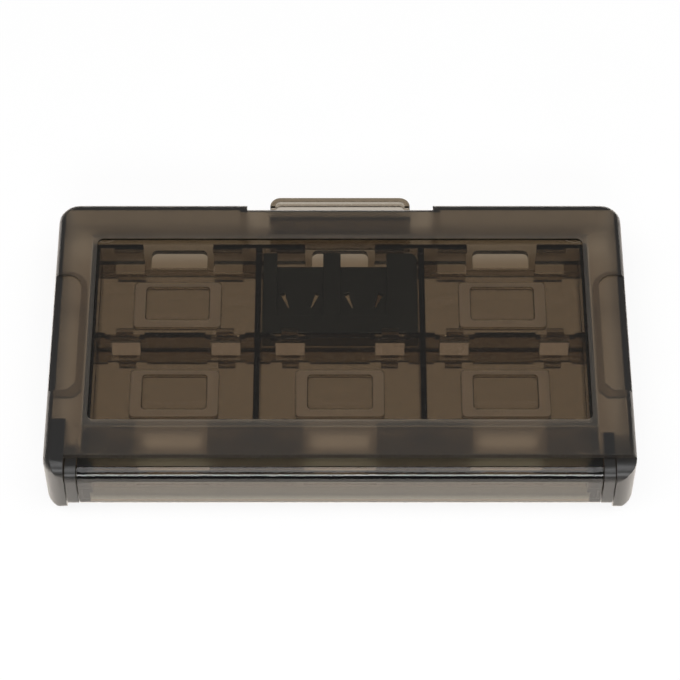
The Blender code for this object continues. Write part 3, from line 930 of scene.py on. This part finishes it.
@dataclass
class Studio:
    """The pale floor, the soft lamps, the surroundings and the camera."""

    lamps: tuple[Lamp, ...] = (
        Lamp("overhead", spot=(0.0, -0.17, 0.89), aim=(0.0, 0.0, 0.0), size=(1.9, 0.62), watts=7.4),
        Lamp(
            "front_strip", spot=(0.0, -0.84, 0.56), aim=(0.0, -0.04, 0.015), size=(0.46, 0.20), watts=2.4
        ),
    )
    floor_half: float = 2.5
    floor_cells: int = 8
    floor_drop: float = 0.0002
    paper_scale: float = 40.0
    paper_shade: float = 0.985
    camera_spot: Point = (0.0, -0.3745, 0.5649)
    elevation: float = 56.0
    focal: float = 144.6
    sensor: float = 36.0
    nearest: float = 0.01
    seen_share: float = 0.82
    mirrored_share: float = 0.90
    # Painted shadow of the case: the tint that the floor shows to rays through the case, how far in from the
    # covers' edges it fades, and how far its edge is pulled in at front and rear.
    painted_case_shadow: Colour = (0.60, 0.52, 0.43)
    painted_shadow_fade: float = 0.006
    open_front: float = 0.004
    open_rear: float = 0.0015
    glow: float = 1.05
    mirrored_glow: float = 0.95
    mirrored_tint: Colour = (1.0, 0.93, 0.85)
    around: float = 0.2

    def painted_shadow_mask(self, wire: Wiring, place: bpy.types.NodeSocket) -> bpy.types.NodeSocket:
        """Wires the mask of the painted case shadow: how far under the case a place on the floor is.

        Args:
            wire: The floor material's wiring.
            place: The place on the floor.

        Returns:
            A number from 0 at the edge of the covers to 1 well under them.
        """
        low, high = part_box("top_cover")
        low = (low[0], low[1] + self.open_front)
        high = (high[0], high[1] - self.open_rear)
        centre = [(low[axis] + high[axis]) / 2 for axis in range(2)]
        half = [(high[axis] - low[axis]) / 2 - self.painted_shadow_fade for axis in range(2)]
        reach, _ = wire.beyond_box(place, (*centre, 0.0), (*half, 1.0))
        return wire.add(
            "ShaderNodeMapRange",
            {"Value": reach, "From Min": 0.0, "From Max": self.painted_shadow_fade, "To Min": 1.0, "To Max": 0.0},
            interpolation_type="SMOOTHSTEP",
        ).outputs[0]

    def floor(self) -> bpy.types.Object:
        """Lays the floor, which keeps a soft shadow. Where it is seen through the case it carries a painted
        shadow of the case, a brown tint that fades out at the covers' edges.

        Returns:
            The floor.
        """
        shape = bmesh.new()
        cells = self.floor_cells
        bmesh.ops.create_grid(shape, x_segments=cells, y_segments=cells, size=self.floor_half)
        mesh = bpy.data.meshes.new("floor")
        shape.to_mesh(mesh)
        shape.free()
        floor = bpy.data.objects.new("floor", mesh)
        floor.location.z = -self.floor_drop
        bpy.context.scene.collection.objects.link(floor)
        material, wire = empty_material("pale_floor")
        light = wire.add("ShaderNodeLightPath")
        place = wire.add("ShaderNodeTexCoord").outputs["Object"]
        fibres = wire.add("ShaderNodeTexNoise", {"Vector": place, "Scale": self.paper_scale, "Detail": 4.0})
        paper = wire.add(
            "ShaderNodeMapRange", {"Value": fibres.outputs["Fac"], "To Min": self.paper_shade, "To Max": 1.0}
        )
        through = light.outputs["Is Transmission Ray"]
        # Painted shadow: rays that reach the floor through the case see it tinted under the covers.
        under = wire.math("MULTIPLY", self.painted_shadow_mask(wire, place), through)
        shown = wire.blend(under, paper.outputs[0], (*self.painted_case_shadow, 1.0))
        shares = wire.math("MULTIPLY_ADD", light.outputs["Is Camera Ray"], self.seen_share, through)
        shares = wire.math("MULTIPLY_ADD", light.outputs["Is Glossy Ray"], self.mirrored_share, shares)
        diffuse = wire.add("ShaderNodeBsdfDiffuse", {"Color": paper.outputs[0]})
        mirrored = wire.math("MAXIMUM", wire.math("SUBTRACT", light.outputs["Is Glossy Ray"], through), 0.0)
        strength = wire.math("MULTIPLY_ADD", mirrored, self.mirrored_glow, self.glow)
        shown = wire.blend(mirrored, shown, (*self.mirrored_tint, 1.0))
        glow = wire.add("ShaderNodeEmission", {"Color": shown, "Strength": strength})
        mixed = wire.add(
            "ShaderNodeMixShader",
            {0: wire.math("MINIMUM", shares, 1.0), 1: diffuse.outputs[0], 2: glow.outputs[0]},
        )
        wire.add("ShaderNodeOutputMaterial", {"Surface": mixed.outputs[0]})
        mesh.materials.append(material)
        return floor

    def surroundings(self) -> None:
        """Sets a plain grey world that the camera sees as white."""
        world = bpy.data.worlds.new("studio")
        world.use_nodes = True
        world.node_tree.nodes.clear()
        wire = Wiring(world.node_tree)
        light = wire.add("ShaderNodeLightPath")
        dim = wire.add("ShaderNodeBackground", {"Color": (1.0, 1.0, 1.0, 1.0), "Strength": self.around})
        white = wire.add("ShaderNodeBackground", {"Color": (1.0, 1.0, 1.0, 1.0), "Strength": 1.0})
        mixed = wire.add(
            "ShaderNodeMixShader", {0: light.outputs["Is Camera Ray"], 1: dim.outputs[0], 2: white.outputs[0]}
        )
        wire.add("ShaderNodeOutputWorld", {"Surface": mixed.outputs[0]})
        bpy.context.scene.world = world

    def camera(self) -> bpy.types.Object:
        """Places the camera where the photograph was taken from.

        Returns:
            The camera.
        """
        lens = bpy.data.cameras.new("camera")
        lens.sensor_width = self.sensor
        lens.lens = self.focal
        lens.clip_start = self.nearest
        camera = bpy.data.objects.new("camera", lens)
        camera.location = self.camera_spot
        camera.rotation_euler = (math.radians(90.0 - self.elevation), 0.0, 0.0)
        bpy.context.scene.collection.objects.link(camera)
        bpy.context.scene.camera = camera
        return camera

    def build(self) -> None:
        """Sets up the whole studio."""
        bpy.context.scene.view_settings.view_transform = "Standard"
        self.floor()
        self.surroundings()
        for lamp in self.lamps:
            lamp.build()
        self.camera()
        LOG.info("studio ready")


def main() -> None:
    """Dresses the case piece by piece, then sets the studio."""
    logging.basicConfig(level=logging.INFO, format="%(name)s: %(message)s")
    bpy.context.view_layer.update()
    finishes = Finishes().build()
    parts = [
        (SoftenedPart("top_cover", "upper_shell", "frosted_smoke", edge=0.00006), "frosted"),
        (SoftenedPart("top_window", "upper_shell", "clear_smoke", edge=0.00008), "window"),
        (SoftenedPart("bottom_cover", "lower_shell", "frosted_smoke", edge=0.00006), "frosted"),
        (SoftenedPart("bottom_window", "lower_shell", "clear_smoke", edge=0.00008), "window"),
        (SoftenedPart("card_tray", "tray", "tray_smoke", edge=0.00012), "tray"),
        (SoftenedPart("card_adapter", "tray", "black_plastic", edge=0.00012), "black"),
        (SoftenedPart("hinge_pin_left", "tray", "pin_plastic", edge=0.00015), "pin"),
        (SoftenedPart("hinge_pin_right", "tray", "pin_plastic", edge=0.00015), "pin"),
    ]
    for part, finish in parts:
        part.build(finishes[finish])
    panels = LabelPanels()
    panels.build(finishes["etched"])
    LabelShadeLines(panels).build(finishes["line"])
    EjectorRings("upper_rings", "upper_shell", face=1).build(finishes["frosted"])
    EjectorRings("lower_rings", "lower_shell", face=-1).build(finishes["frosted"])
    Studio().build()


if __name__ == "__main__":
    main()
